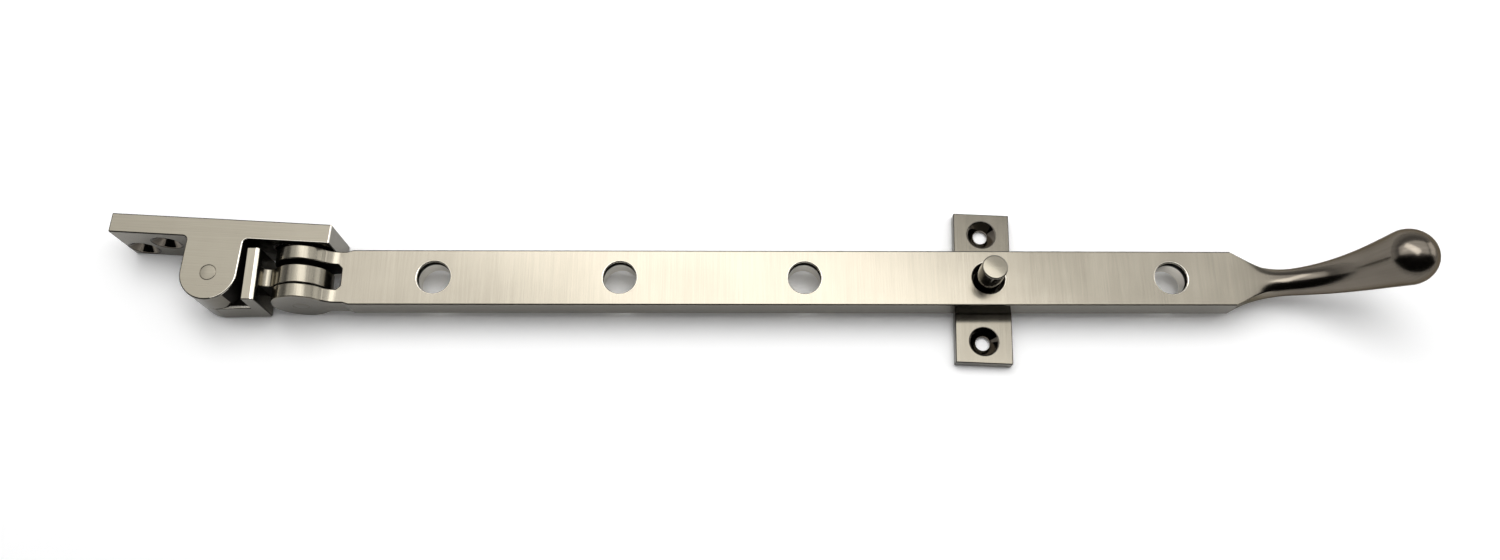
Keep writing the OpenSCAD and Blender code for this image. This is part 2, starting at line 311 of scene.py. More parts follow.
def soften(piece, width, keep, crisp=lambda edge: False):
    """Rounds the edges by width in millimetres, apart from those that keep() names."""
    bm = bmesh.new()
    bm.from_mesh(piece.data)
    bmesh.ops.remove_doubles(bm, verts=bm.verts, dist=MERGE)
    bmesh.ops.dissolve_limit(bm, angle_limit=STRIP_ANGLE, verts=bm.verts, edges=bm.edges,
                             delimit={"MATERIAL"})
    chosen = [e for e in bm.edges
              if len(e.link_faces) == 2 and e.calc_face_angle_signed() > SOFT_ANGLE and not keep(e)]
    # The rounding takes the near black edge finish, a painted dark reflection.
    bmesh.ops.bevel(bm, geom=chosen, offset=width * MM, segments=3, profile=0.5, affect="EDGES",
                    clamp_overlap=False, miter_outer="ARC", material=ROUNDED)
    # Each ridge gets a near black hairline, painted shade along the crease.
    bmesh.ops.bevel(bm, geom=[e for e in bm.edges if crisp(e)], offset=HAIRLINE * MM, segments=1,
                    profile=0.5, affect="EDGES", clamp_overlap=True, material=SHADE_PAINT)
    bm.normal_update()
    bm.to_mesh(piece.data)
    bm.free()
    even_normals(piece, crisp)
    print(piece.name, "softened", len(chosen), "edges;", len(piece.data.polygons), "faces")


def middle_of(edge):
    """The middle of an edge, in millimetres."""
    return (edge.verts[0].co + edge.verts[1].co) / 2 / MM


def near_pin(edge, x):
    """True at the rims of a hole for the fork's pin, which lies along Y at x."""
    middle = middle_of(edge)
    return math.hypot(middle.x - x, middle.z - HINGE_Z) < PIN_D / 2 + 0.2


def ridge_at(x):
    """A test for the two ridges of a knuckle, above and below the pin at x."""
    return lambda edge: all(abs(v.co.x / MM - x) < 0.02 and abs(v.co.z / MM - HINGE_Z) > 5
                            for v in edge.verts)


# %% [markdown]
# ## A row of holes with Geometry Nodes
#
# The bar has five equal holes, and each plate has pairs of equal screw holes. Repeating one
# cutter is a job for Geometry Nodes: a line of points, one instance of the cutter on each, and
# Realize Instances, so that the result is a plain mesh that can cut. Count and step are named
# inputs of the tree, so one tree serves all the rows. Every tree here, of geometry or of a
# material, is built with `node`.


# %% Building node trees
def node(tree, kind, inputs=None, **settings):
    """Adds a node, sets its options, and links or sets its inputs. A node given as an input
    stands for its first output."""
    made = tree.nodes.new(kind)
    for key, value in settings.items():
        setattr(made, key, value)
    for key, value in (inputs or {}).items():
        value = getattr(value, "socket", value)
        if isinstance(value, bpy.types.Node):
            value = value.outputs[0]
        if isinstance(value, bpy.types.NodeSocket):
            tree.links.new(value, made.inputs[key])
        else:
            made.inputs[key].default_value = value
    return made


def new_tree(name, inputs):
    """An empty Geometry Nodes tree with the named inputs, and the sockets that bring them."""
    tree = bpy.data.node_groups.new(name, "GeometryNodeTree")
    for title, kind in inputs.items():
        tree.interface.new_socket(name=title, in_out="INPUT", socket_type="NodeSocket" + kind)
    tree.interface.new_socket(name="Geometry", in_out="OUTPUT", socket_type="NodeSocketGeometry")
    return tree, tree.nodes.new("NodeGroupInput").outputs


def finish_tree(tree, geometry, coat):
    """Gives the geometry its material and leads it out of the tree."""
    coated = node(tree, "GeometryNodeSetMaterial", {"Geometry": geometry, "Material": coat})
    node(tree, "NodeGroupOutput", {"Geometry": coated})
    print(tree.name, "tree:", len(tree.nodes), "nodes")


def run_tree(name, tree, values):
    """Runs a tree on a new object and returns the plain mesh object that it makes."""
    made = add_object(name, bpy.data.meshes.new(name))
    modifier = made.modifiers.new("nodes", "NODES")
    modifier.node_group = tree
    for socket in tree.interface.items_tree:
        if socket.name in values:
            modifier[socket.identifier] = values[socket.name]
    return settle(made)


# %% The tree that repeats a cutter
row_tree, row_in = new_tree("row_of_cutters", {
    "Cutter": "Object", "Count": "Int", "Start": "Vector", "Step": "Vector", "Metal": "Material"})
row_line = node(row_tree, "GeometryNodeMeshLine", {
    "Count": row_in["Count"], "Start Location": row_in["Start"], "Offset": row_in["Step"]})
row_cutter = node(row_tree, "GeometryNodeObjectInfo", {"Object": row_in["Cutter"]})
row_copies = node(row_tree, "GeometryNodeInstanceOnPoints", {
    "Points": row_line, "Instance": row_cutter.outputs["Geometry"]})
row_real = node(row_tree, "GeometryNodeRealizeInstances", {"Geometry": row_copies})
finish_tree(row_tree, row_real, row_in["Metal"])


def cut_row(piece, cutter, count, start, step):
    """Cuts a row of equal polished holes. start and step are in millimetres."""
    start, step = ([c * MM for c in point] for point in (start, step))
    combine(piece, "DIFFERENCE", run_tree("row", row_tree, {
        "Cutter": cutter, "Count": count, "Start": start, "Step": step, "Metal": polished}))
    bpy.data.objects.remove(cutter)

# %% [markdown]
# ## Satin nickel
#
# The metal is one plating in two finishes. The flat faces are brushed: thousands of fine
# scratches run one way, and a highlight spreads out across them. The handle is polished until it
# shows its surroundings. Each material is built from noise drawn out into streaks, which vary the
# colour a little and the roughness more, and press a shallow relief. The shader's anisotropy
# stretches the highlight across brush lines that are finer than a pixel.
#
# A UV map named grain says which way the brush went. Its first number runs along the lines, its
# second one across them, and both are millimetres, so a streak has its true width everywhere.


# %% Streak noise
def streaks(tree, vector, scale, detail=3.0):
    """Noise drawn out into lines: the scale is in features per unit along each axis."""
    drawn_out = node(tree, "ShaderNodeMapping", {"Vector": vector, "Scale": scale})
    return node(tree, "ShaderNodeTexNoise", {"Vector": drawn_out, "Scale": 1.0, "Detail": detail,
                                             "Roughness": 0.6}).outputs["Fac"]


def object_place(tree):
    return node(tree, "ShaderNodeTexCoord").outputs["Object"]


def grain_parts(tree):
    """Fine streaks, broad streaks and haze that follow the grain map."""
    grain = node(tree, "ShaderNodeUVMap", uv_map="grain")
    return (streaks(tree, grain, (0.05, 4.0, 1.0)), streaks(tree, grain, (0.03, 0.5, 1.0), 2.0),
            streaks(tree, object_place(tree), (70.0, 70.0, 70.0), 2.0))


def across_parts(tree):
    """The same three for the top of the bar, whose streaks run across its width."""
    return [streaks(tree, object_place(tree), scale, detail) for scale, detail in (
        ((3600.0, 60.0, 60.0), 3.0), ((420.0, 40.0, 40.0), 2.0), ((60.0, 60.0, 60.0), 2.0))]


# %% Mixing values and colours
def blend(tree, a, b, share):
    """A number between a and b: a at share 0, b at share 1."""
    return node(tree, "ShaderNodeMix", {0: share, 2: a, 3: b}, data_type="FLOAT").outputs[0]


def blend_colour(tree, a, b, share):
    return node(tree, "ShaderNodeMix", {0: share, 6: a, 7: b}, data_type="RGBA").outputs[2]


def remap(tree, value, start, end, low=0.0, high=1.0):
    """Carries the range from start to end over to the range from low to high."""
    return node(tree, "ShaderNodeMapRange", {"Value": value, "From Min": start, "From Max": end,
                                             "To Min": low, "To Max": high}).outputs[0]


def mottle(tree, fine, broad, haze):
    return blend(tree, blend(tree, fine, broad, 0.35), haze, 0.4)


def tone(tree, mixed, dark, light):
    """The colour that goes with the mottle."""
    return blend_colour(tree, (*dark, 1), (*light, 1), remap(tree, mixed, 0.36, 0.64))


def gloss(tree, mixed, rough):
    """The roughness that goes with the mottle."""
    return remap(tree, mixed, 0.3, 0.7, *rough)


# %% Making a metal
BRUSH_TURN = 0.25  # a quarter turn: the highlight spreads across the lines
SCRATCH_DEPTH = 0.00002


def empty_material(name):
    made = bpy.data.materials.new(name)
    made.use_nodes = True
    made.node_tree.nodes.clear()
    return made


def finish_shader(made, colour, rough, height, relief, more):
    """Brings colour, roughness and relief together in the metal's shader."""
    tree = made.node_tree
    bump = node(tree, "ShaderNodeBump", {"Height": height, "Strength": relief, "Distance": SCRATCH_DEPTH})
    shader = node(tree, "ShaderNodeBsdfPrincipled", {
        "Base Color": colour, "Metallic": 1.0, "Roughness": rough, "Normal": bump, **more})
    node(tree, "ShaderNodeOutputMaterial", {"Surface": shader})
    print("material", made.name, "with", len(tree.nodes), "nodes")
    return made


def metal(name, dark, light, rough, stretch=0.0, relief=0.2, parts=grain_parts):
    """A brushed metal. parts(tree) gives the fine streaks, the broad streaks and the haze."""
    made = empty_material(name)
    tree = made.node_tree
    fine, broad, haze = parts(tree)
    mixed = mottle(tree, fine, broad, haze)
    along = node(tree, "ShaderNodeTangent", direction_type="UV_MAP", uv_map="grain")
    return finish_shader(made, tone(tree, mixed, dark, light), gloss(tree, mixed, rough), fine, relief, {
        "Anisotropic": stretch, "Anisotropic Rotation": BRUSH_TURN, "Tangent": along})


# %% [markdown]
# `brushed` is for the tops of bracket and swivel. `cross_brushed` is for the top of the bar, which
# was ground across its width; it reads object coordinates, so that its streaks run on into the
# handle. The sides get a darker copy of the buffed metal, painted shade. `buffed` is for the tops
# of knuckles and pins, and `polished` for the screw holes. The rest is painted light and shade on
# edges and in gaps: a near black line along a rounded edge is a painted dark reflection, a pale one
# is a painted highlight on edges that face the lights, and the darkest is painted shade in gaps.

# %% The finishes
DEEP, SHINE = (0.140, 0.123, 0.101), (0.200, 0.176, 0.146)
TOP_DARK, TOP_LIGHT = (0.268, 0.244, 0.197), (0.316, 0.289, 0.235)
TOP_ROUGH = (0.19, 0.24)

brushed = metal("satin_nickel_brushed", (0.255, 0.233, 0.187), (0.335, 0.308, 0.248),
                (0.24, 0.40), 0.5, 0.5)
cross_brushed = metal("satin_nickel_cross_brushed", TOP_DARK, TOP_LIGHT, TOP_ROUGH, 0.3,
                      parts=across_parts)
# Pale: a painted highlight for the edges that face the lights.
highlight_paint = metal("bright_edge_nickel", (0.74, 0.70, 0.61), (0.88, 0.84, 0.74), (0.14, 0.22))
polished = metal("polished_nickel", DEEP, SHINE, (0.06, 0.11), relief=0.1)
buffed = metal("buffed_nickel", (0.205, 0.187, 0.150), (0.268, 0.247, 0.199), (0.17, 0.26), 0.2, 0.3)
# A darker copy of the buffed metal, painted shade for the sides.
shaded_sides = metal("buffed_sides", (0.152, 0.139, 0.113), (0.200, 0.183, 0.149), (0.13, 0.21), 0.2)
# Near black: a painted dark reflection along every rounded edge.
dark_edge_paint = metal("tarnished_edges", (0.045, 0.041, 0.034), (0.070, 0.064, 0.053), (0.22, 0.32))
# Near black: painted shade for narrow gaps, the knuckles' ridges and the hole under the peg.
shade_paint = metal("cast_skin", (0.010, 0.009, 0.008), (0.030, 0.027, 0.023), (0.55, 0.80), relief=1.0)

# %% The finish of the peg holes
# A near black band without metal shine, painted shade high in each hole's wall.
BORE_SHADE_COLOUR = (0.012, 0.011, 0.009, 1)
BORE_SHADE_FROM, BORE_SHADE_FULL = 2.5, 2.1  # depths below the top of the bar
bore_finish = metal("peg_hole_nickel", (0.80, 0.77, 0.70), (0.92, 0.89, 0.82), (0.04, 0.08), relief=0.1)
bore = bore_finish.node_tree
surface = bore.nodes["Principled BSDF"].inputs
height = node(bore, "ShaderNodeSeparateXYZ", {"Vector": object_place(bore)}).outputs["Z"]
bore_shade = remap(bore, height, (ARM_TOP - BORE_SHADE_FROM) * MM, (ARM_TOP - BORE_SHADE_FULL) * MM)
shine = node(bore, "ShaderNodeMath", {0: 1.0, 1: bore_shade}, operation="SUBTRACT").outputs[0]
for title in ("Metallic", "Specular IOR Level"):
    bore.links.new(shine, surface[title])
polish = surface["Base Color"].links[0].from_socket
bore.links.new(blend_colour(bore, polish, BORE_SHADE_COLOUR, bore_shade), surface["Base Color"])
print("tarnish ends", BORE_SHADE_FULL, "to", BORE_SHADE_FROM, "mm below the top of the bar")

# %% [markdown]
# Every piece carries the finishes in the same eight slots, and each face points to one of them.
# `lay_grain` deals out sides and tops and keeps what `soften` marked. `line_hole` then does the
# walls of a hole, and `finish_faces` any group of faces known by their place and direction.


# %% Laying the grain on a piece
def lay_grain(piece, top, top_finish):
    """Maps each face along its brush lines. top says which way they run on upward faces."""
    mesh = piece.data
    uv = mesh.uv_layers.new(name="grain")
    preset = [face.material_index for face in mesh.polygons]
    mesh.materials.clear()
    for finish in (shaded_sides, polished, top_finish, shade_paint, dark_edge_paint, buffed, highlight_paint, bore_finish):
        mesh.materials.append(finish)
    for face in mesh.polygons:
        # Faces that aren't tops take the darker side finish, painted shade.
        face.material_index = preset[face.index] if preset[face.index] >= SHADE_PAINT else PLAIN
        size = [abs(c) for c in face.normal]
        if size[2] >= max(size[:2]):
            along, across = (0, 1) if top == "X" else (1, 0)
            if face.material_index == PLAIN and size[2] > 0.7:
                face.material_index = TOP
        elif size[1] >= size[0]:
            along, across = 0, 2
        else:
            along, across = 1, 2
        for corner in face.loop_indices:
            point = mesh.vertices[mesh.loops[corner].vertex_index].co / MM
            uv.data[corner].uv = (point[along], point[across])


# %% Finishing holes and groups of faces
UP, RIGHT, BACK = Vector((0, 0, 1)), Vector((1, 0, 0)), Vector((0, 1, 0))
ALL_BUT_FLAT = 0.9995


def line_hole(piece, at, axis, radius, slot=POLISHED, lean_limit=0.9):
    """Finishes the faces within radius of an axis that lean along it less than the limit."""
    for face in piece.data.polygons:
        away = face.center / MM - Vector(at)
        away -= away.project(axis)
        if away.length < radius and abs(face.normal.dot(axis)) < lean_limit:
            face.material_index = slot


def finish_faces(piece, slot, facing, where, spread=0.9):
    """Finishes the faces that look along facing and whose centre, in millimetres, passes where()."""
    for face in piece.data.polygons:
        if where(face.center / MM) and face.normal.dot(facing) > spread:
            face.material_index = slot


# %% [markdown]
# ## The flat bar with its fork
#
# The bar, the fork's knuckle and the handle are one forging. The knuckle is two discs overlapped
# a little, which leaves the faint ridge that shows on each tine. The side outline is pushed across
# the bar's width, the plan outline is pushed through its height, and what both share is the bar.
# The slot for the swivel's tongue, the pin's hole and the five peg holes are then cut away.
#
# In the photograph only the upper part of each hole's wall is black, and the rest mirrors the
# floor. So the walls get a finish of their own: a near black band above, painted shade, and
# polished below.

# %% The bar's two outlines
def round_of(radius):
    """Radius and end angle of the two overlapping discs that make a round with a ridge."""
    return math.hypot(radius, RIDGE), math.degrees(math.atan2(radius, RIDGE))


def fillet_on(disc, away, fillet):
    """How far along and at what angle a fillet joins a disc and a line that passes it."""
    reach = math.sqrt((disc + fillet) ** 2 - (away + fillet) ** 2)
    return reach, math.degrees(math.atan2(away + fillet, reach))


disc, crest = round_of(KNUCKLE_R)
side = [(BAR_END, ARM_TOP)]
reach, lean = fillet_on(disc, ARM_TOP - HINGE_Z, TOP_FILLET)
side += arc(FORK_X - RIDGE + reach, ARM_TOP + TOP_FILLET, TOP_FILLET, 270, 180 + lean)
side += arc(FORK_X - RIDGE, HINGE_Z, disc, lean, crest)[1:]
side += arc(FORK_X + RIDGE, HINGE_Z, disc, 180 - crest, 180 + crest)[1:]
reach, lean = fillet_on(disc, HINGE_Z - ARM_LOW, UNDER_FILLET)
side += arc(FORK_X - RIDGE, HINGE_Z, disc, -crest, -lean)[1:]
side += arc(FORK_X - RIDGE + reach, ARM_LOW - UNDER_FILLET, UNDER_FILLET, 180 - lean, 90)[1:]
side += [(BAR_END, ARM_LOW)]
WIDEN_FROM, WIDEN_RUN, TRIM = -166.8, 1.5, 5.0
fork_left = FORK_X - 2 * KNUCKLE_R
half_plan = [(fork_left, FORK_W / 2), (WIDEN_FROM, FORK_W / 2),
             (WIDEN_FROM + WIDEN_RUN, ARM_W / 2), (BAR_END + TRIM, ARM_W / 2)]
half_slot = [(fork_left, SLOT_W / 2), (SLOT_END - SLOT_CORNER, SLOT_W / 2),
             (SLOT_END, SLOT_W / 2 - SLOT_CORNER)]
print("side outline:", len(side), "points")


# %% Cutting the bar
THROUGH = (-2, BRACKET_H + 2)
RIM, PAST = 0.35, 0.05
BEND, BEND_STEP = 78, 13  # degrees; a full quarter would end level with the face


def two_ended(top, low, high, past=0.0):
    """A lathe profile that is closed past low and high, and whose bottom mirrors its top."""
    under = [(r, low + high - z) for r, z in reversed(top)]
    return [(0, low - past)] + under + top + [(0, high + past)]


flat_bar = prism("flat_bar", side, -ARM_W, ARM_W, "XZ")
combine(flat_bar, "INTERSECT", prism("plan", half_plan + mirrored(half_plan), *THROUGH))
combine(flat_bar, "DIFFERENCE", prism("slot", half_slot + mirrored(half_slot), *THROUGH),
        lay_across(drill("fork_hole", PIN_D / 2, -9, 9), FORK_X, 0, HINGE_Z))
rim = arc(HOLE_D / 2 + RIM, ARM_TOP - RIM, RIM, 180, 180 - BEND, BEND_STEP)
run_out = (ARM_TOP + PAST - rim[-1][1]) / math.tan(math.radians(90 - BEND))
rim.append((rim[-1][0] + run_out, ARM_TOP + PAST))
first_hole = -(HOLE_ON_PEG - 1) * HOLE_PITCH
cut_row(flat_bar, turned("peg_hole", two_ended(rim, ARM_LOW, ARM_TOP, PAST)), HOLE_COUNT,
        (first_hole, 0, 0), (HOLE_PITCH, 0, 0))
print("bar cut; first hole at", first_hole, "mm")


# %% Edges and finishes of the bar
def kept_on_bar(edge):
    """The rims of the pin's hole, and the end where the handle goes on."""
    return near_pin(edge, FORK_X) or all(v.co.x > (BAR_END - 0.01) * MM for v in edge.verts)


soften(flat_bar, 0.32, kept_on_bar, ridge_at(FORK_X))
lay_grain(flat_bar, "Y", cross_brushed)
for i in range(HOLE_COUNT):
    hole = (first_hole + i * HOLE_PITCH, 0, 0)
    # The hole under the peg gets a near black wall, painted shade.
    wall = SHADE_PAINT if i + 1 == HOLE_ON_PEG else BORE
    # The rims of the peg holes carry a painted highlight.
    line_hole(flat_bar, hole, UP, HOLE_D / 2 + RIM + 0.1, BRIGHT, ALL_BUT_FLAT)
    line_hole(flat_bar, hole, UP, HOLE_D / 2 + 0.05, wall, 0.05)
finish_faces(flat_bar, BUFFED, UP, lambda p: p.x <= FORK_X + 6 and p.z >= HINGE_Z, 0.1)
# The bar's front, its rounded edges too, takes the darker side finish, painted shade.
finish_faces(flat_bar, PLAIN, -BACK, lambda p: p.y <= -7 and ARM_LOW <= p.z <= ARM_TOP + 0.1, 0.1)
# The slot's walls are painted near black for the shade in the slot.
for facing in (BACK, -BACK, -RIGHT):
    finish_faces(flat_bar, SHADE_PAINT, facing, lambda p: p.x <= SLOT_END + 0.1 and abs(p.y) <= SLOT_W / 2 + 0.1)
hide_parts("stay_arm")
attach(flat_bar, "arm")

# %% [markdown]
# ## The swan-neck handle, made by a rule
#
# The handle's shape follows a rule, so Geometry Nodes make it. Its middle line leaves the bar
# sloping gently down, and its slope then grows smoothly until the bulb. A line of stations holds
# that curve, added up from small steps by Accumulate Field. Each ring of a cylinder is moved to
# one station and given its width and height there. Near the bar a ring is the bar's rectangle, and
# it turns into a circle along the neck.
#
# Such a rule gets long with single Math nodes, so a small class lets Python's + and * add them.


# %% Arithmetic that builds nodes
class Field:
    """A socket that Python can calculate with; each step adds one Math node."""

    tree = None

    def __init__(self, socket):
        self.socket = socket

    @classmethod
    def calc(cls, operation, *values):
        made = node(cls.tree, "ShaderNodeMath", dict(enumerate(values)), operation=operation)
        return cls(made.outputs[0])


def operator(kind):
    """A Python operator that adds a Math node of this kind."""
    return lambda self, other: Field.calc(kind, self, other)


Field.__add__ = Field.__radd__ = operator("ADD")
Field.__mul__ = Field.__rmul__ = operator("MULTIPLY")
Field.__sub__, Field.__truediv__, Field.__pow__ = map(operator, ("SUBTRACT", "DIVIDE", "POWER"))
Field.__rsub__ = lambda self, other: Field.calc("SUBTRACT", other, self)


def clamp01(value):
    return Field.calc("MINIMUM", Field.calc("MAXIMUM", value, 0.0), 1.0)


def ease(value):
    """A smooth step from 0 to 1."""
    t = clamp01(value)
    return t * t * (3.0 - t * 2.0)


def mix(a, b, share):
    return a + (b - a) * share


def vector(x, y, z):
    return node(swan_tree, "ShaderNodeCombineXYZ", {"X": x, "Y": y, "Z": z}).outputs[0]


print("Field arithmetic ready")

# %% The rule of the handle
LENGTHS = {"Bar width": ARM_W, "Bar thickness": ARM_T, "Neck diameter": 7.1, "Bulb diameter": 14.2,
           "Neck run": 16, "Bulb run": 46, "Rise run": 43, "Tilt run": 8, "Round run": 13, "Polish run": 19}
ANGLES = {"Dip": 6, "Rise": 57, "Taper": 9.5}
COUNTS = {"Stations": 72, "Ball stations": 22, "Sides": 96}
swan_tree, swan_in = new_tree("swan_neck", {
    "Start": "Vector", "Metal": "Material", **dict.fromkeys((*LENGTHS, *ANGLES), "Float"),
    **dict.fromkeys(COUNTS, "Int")})
Field.tree = swan_tree
size = {socket.name: Field(socket) for socket in swan_in if socket.name}
neck, ball = size["Neck diameter"] * 0.5, size["Bulb diameter"] * 0.5
neck_run, bulb_run, taper = size["Neck run"], size["Bulb run"], size["Taper"]
stations, ball_stations = size["Stations"], size["Ball stations"]
sin, cos = (lambda f: Field.calc("SINE", f)), (lambda f: Field.calc("COSINE", f))
taper_end = bulb_run - ball * sin(taper)
taper_r = ball * cos(taper)
taper_power = (sin(taper) / cos(taper)) * (taper_end - neck_run) / (taper_r - neck)
BALL_CLOSE = math.radians(87)


def on_ball(i):
    return Field.calc("GREATER_THAN", i, stations + 0.5)


def ball_angle(i):
    """The angle on the ball, from where the taper meets it to just short of its tip."""
    past_taper = Field.calc("MAXIMUM", i - stations, 0.0) / ball_stations
    return mix(taper * -1.0, BALL_CLOSE, past_taper)


def station(i):
    """The length along the curve at ring i."""
    return mix(taper_end * (i / stations), bulb_run + ball * sin(ball_angle(i)), on_ball(i))


def slope(s):
    """The middle line's angle: a dip at first, then a rise."""
    return mix(size["Dip"] * -1.0, size["Rise"], ease(s / size["Rise run"]))


def half_sizes(s, i):
    """Half the height and half the width of ring i, which lies at length s."""
    on_neck = Field.calc("LESS_THAN", s, neck_run)
    flat = mix(size["Bar thickness"] * 0.5, neck, ease(s / neck_run))
    swell = clamp01((s - neck_run) / (taper_end - neck_run)) ** taper_power
    tapered = mix(mix(neck, taper_r, swell), flat, on_neck)
    height = mix(tapered, ball * cos(ball_angle(i)), on_ball(i))
    left = 1.0 - clamp01(s / neck_run)
    return height, mix(height, mix(neck, size["Bar width"] * 0.5, left * left), on_neck)


print("the handle's rule uses", len(swan_tree.nodes), "nodes so far")

# %% The handle's middle line
rings = stations + ball_stations
spine = node(swan_tree, "GeometryNodeMeshLine", {"Count": rings + 1.0, "Offset": (0, 0, 0)})
index = Field(node(swan_tree, "GeometryNodeInputIndex").outputs[0])
here, before = station(index), station(Field.calc("MAXIMUM", index - 1.0, 0.0))
middle = slope((here + before) * 0.5)
step = vector((here - before) * cos(middle), 0.0, (here - before) * sin(middle))
walked = node(swan_tree, "GeometryNodeAccumulateField", {"Value": step}, data_type="FLOAT_VECTOR")
print("middle line: a station for each ring")

# %% The handle's skin
CORNER_PULL = 0.2125  # draws the cylinder's sides towards the four corners of the bar
CORNER_POWER = 26.0  # how sharp those corners are
skin = node(swan_tree, "GeometryNodeMeshCylinder",
            {"Vertices": swan_in["Sides"], "Radius": 1.0, "Depth": 1.0, "Side Segments": rings},
            fill_type="TRIANGLE_FAN")
where = node(swan_tree, "ShaderNodeSeparateXYZ", {"Vector": node(swan_tree, "GeometryNodeInputPosition")})
px, py, pz = (Field(where.outputs[axis]) for axis in "XYZ")
ring = Field.calc("ROUND", (pz + 0.5) * rings)
s = station(ring)
on_skin = clamp01(px * px + py * py)
q = Field.calc("ARCTAN2", py, px)
q = q + sin(q * 4.0) * CORNER_PULL
corner = (Field.calc("ABSOLUTE", cos(q)) ** CORNER_POWER
          + Field.calc("ABSOLUTE", sin(q)) ** CORNER_POWER) ** (-1.0 / CORNER_POWER)
bulge = mix(corner, 1.0, ease(s / size["Round run"])) * on_skin
tilt = slope(s) * ease(s / size["Tilt run"])
height, width = half_sizes(s, ring)
up = height * sin(q) * bulge
offset = vector(up * sin(tilt) * -1.0, width * cos(q) * bulge, up * cos(tilt))

# %% Placing the rings, with their grain and polish
centre = node(swan_tree, "GeometryNodeSampleIndex",
              {"Geometry": spine, "Value": walked.outputs["Leading"], "Index": ring},
              data_type="FLOAT_VECTOR", domain="POINT")
on_curve = node(swan_tree, "ShaderNodeVectorMath", {0: centre, 1: offset}, operation="ADD")
on_bar = node(swan_tree, "ShaderNodeVectorMath", {0: on_curve, 1: swan_in["Start"]}, operation="ADD")
grain_uv = vector(s / MM, Field.calc("ARCTAN2", cos(q), sin(q)) * 5.0, 0.0)
mapped = node(swan_tree, "GeometryNodeStoreNamedAttribute",
              {"Geometry": skin, "Name": "grain", "Value": grain_uv},
              data_type="FLOAT2", domain="CORNER")
marked = node(swan_tree, "GeometryNodeStoreNamedAttribute",
              {"Geometry": mapped, "Name": "polish", "Value": ease(s / size["Polish run"])},
              data_type="FLOAT", domain="POINT")
moved = node(swan_tree, "GeometryNodeSetPosition", {"Geometry": marked, "Position": on_bar})
finish_tree(swan_tree, moved, swan_in["Metal"])

# %% The handle's own finish
# Cross-brushed where the handle leaves the bar, and polished from the neck on.
HANDLE_ROUGH, HANDLE_TINT = (0.15, 0.22), (0.42, 0.39, 0.35, 1.0)
handle_finish = empty_material("handle_nickel")
tree = handle_finish.node_tree
polish = node(tree, "ShaderNodeAttribute", attribute_name="polish").outputs["Fac"]
parts = [blend(tree, a, b, polish) for a, b in zip(across_parts(tree), grain_parts(tree))]
mixed = mottle(tree, *parts)
satin, bright = tone(tree, mixed, TOP_DARK, TOP_LIGHT), tone(tree, mixed, DEEP, SHINE)
colour = blend_colour(tree, satin, bright, polish)
rough = blend(tree, gloss(tree, mixed, TOP_ROUGH), gloss(tree, mixed, HANDLE_ROUGH), polish)
finish_shader(handle_finish, colour, rough, parts[0], 0.25, {"Specular Tint": HANDLE_TINT})

# %% Making the handle
swan_neck = run_tree("swan_neck_handle", swan_tree, {
    "Start": (BAR_END * MM, 0.0, (ARM_LOW + ARM_T / 2) * MM), "Metal": handle_finish, **COUNTS,
    **{name: length * MM for name, length in LENGTHS.items()},
    **{name: math.radians(angle) for name, angle in ANGLES.items()}})
neck_mesh = swan_neck.data
neck_mesh.shade_smooth()
neck_mesh.set_sharp_from_angle(angle=math.radians(40))

# %% Normals where the handle leaves the bar
BLEND_RUN, UPRIGHT = 6.0, 0.9
blended = []
for loop, corner in zip(neck_mesh.loops, neck_mesh.corner_normals):
    run = neck_mesh.vertices[loop.vertex_index].co.x / MM - BAR_END
    share = min(max(run / BLEND_RUN, 0.0), 1.0)
    true = corner.vector
    level = Vector((0, 0, math.copysign(1, true.z)))
    blended.append(level.lerp(true, share * share * (3 - 2 * share)).normalized()
                   if abs(true.z) > UPRIGHT else true.copy())
neck_mesh.normals_split_custom_set(blended)
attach(swan_neck, "arm")
top = max(v.co.z for v in neck_mesh.vertices) / MM
print("handle:", len(neck_mesh.polygons), "faces, top at", round(top, 2), "mm")

# %% [markdown]
# ## Pins and peg
#
# A rivet filed flush leaves only a hairline ring, where its edge and the edge of its hole were
# broken. Pins and peg are lathe work, so each is a profile turned round its axis. The profile
# has a rounded edge at each end, and the faces that look up get the buffed finish.


# %% The two rivets
def rivet(name, low, high, edge):
    """A pin whose ends are rounded by edge."""
    top = arc(PIN_D / 2 - edge, high - edge, edge, 0, 90, 22.5)
    return turned(name, two_ended(top, low, high), PIN_SIDES)


def finish_turned(piece):
    piece.data.shade_smooth()
    piece.data.set_sharp_from_angle(angle=math.radians(30))
    lay_grain(piece, "X", buffed)


fork_rivet = lay_across(rivet("fork_rivet", -FORK_W / 2, FORK_W / 2, 0.08), FORK_X, 0, HINGE_Z)
finish_turned(fork_rivet)
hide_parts("fork_pin")
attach(fork_rivet, "arm")

AT_PIN = Matrix.Translation((PIN_X, PIN_Y, 0))
bracket_rivet = place(rivet("bracket_rivet", SWIVEL_LOW, BRACKET_H - 0.02, 0.14), AT_PIN)
finish_turned(bracket_rivet)
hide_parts("bracket_pin")
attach(bracket_rivet, "bracket")

# %% The peg
PEG_EDGE = 0.4
seat_peg = turned("seat_peg", [
    (0, 0.02), (TAIL_R - 0.1, 0.02), (TAIL_R, 0.12), (TAIL_R, PLATE_T), (PEG_D / 2, PLATE_T),
    *arc(PEG_D / 2 - PEG_EDGE, PLATE_T + PEG_STAND - PEG_EDGE, PEG_EDGE, 0, 90, 22.5),
    (0, PLATE_T + PEG_STAND)])
finish_turned(seat_peg)
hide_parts("locating_peg")
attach(seat_peg, "keeper")
print("pins and peg made")

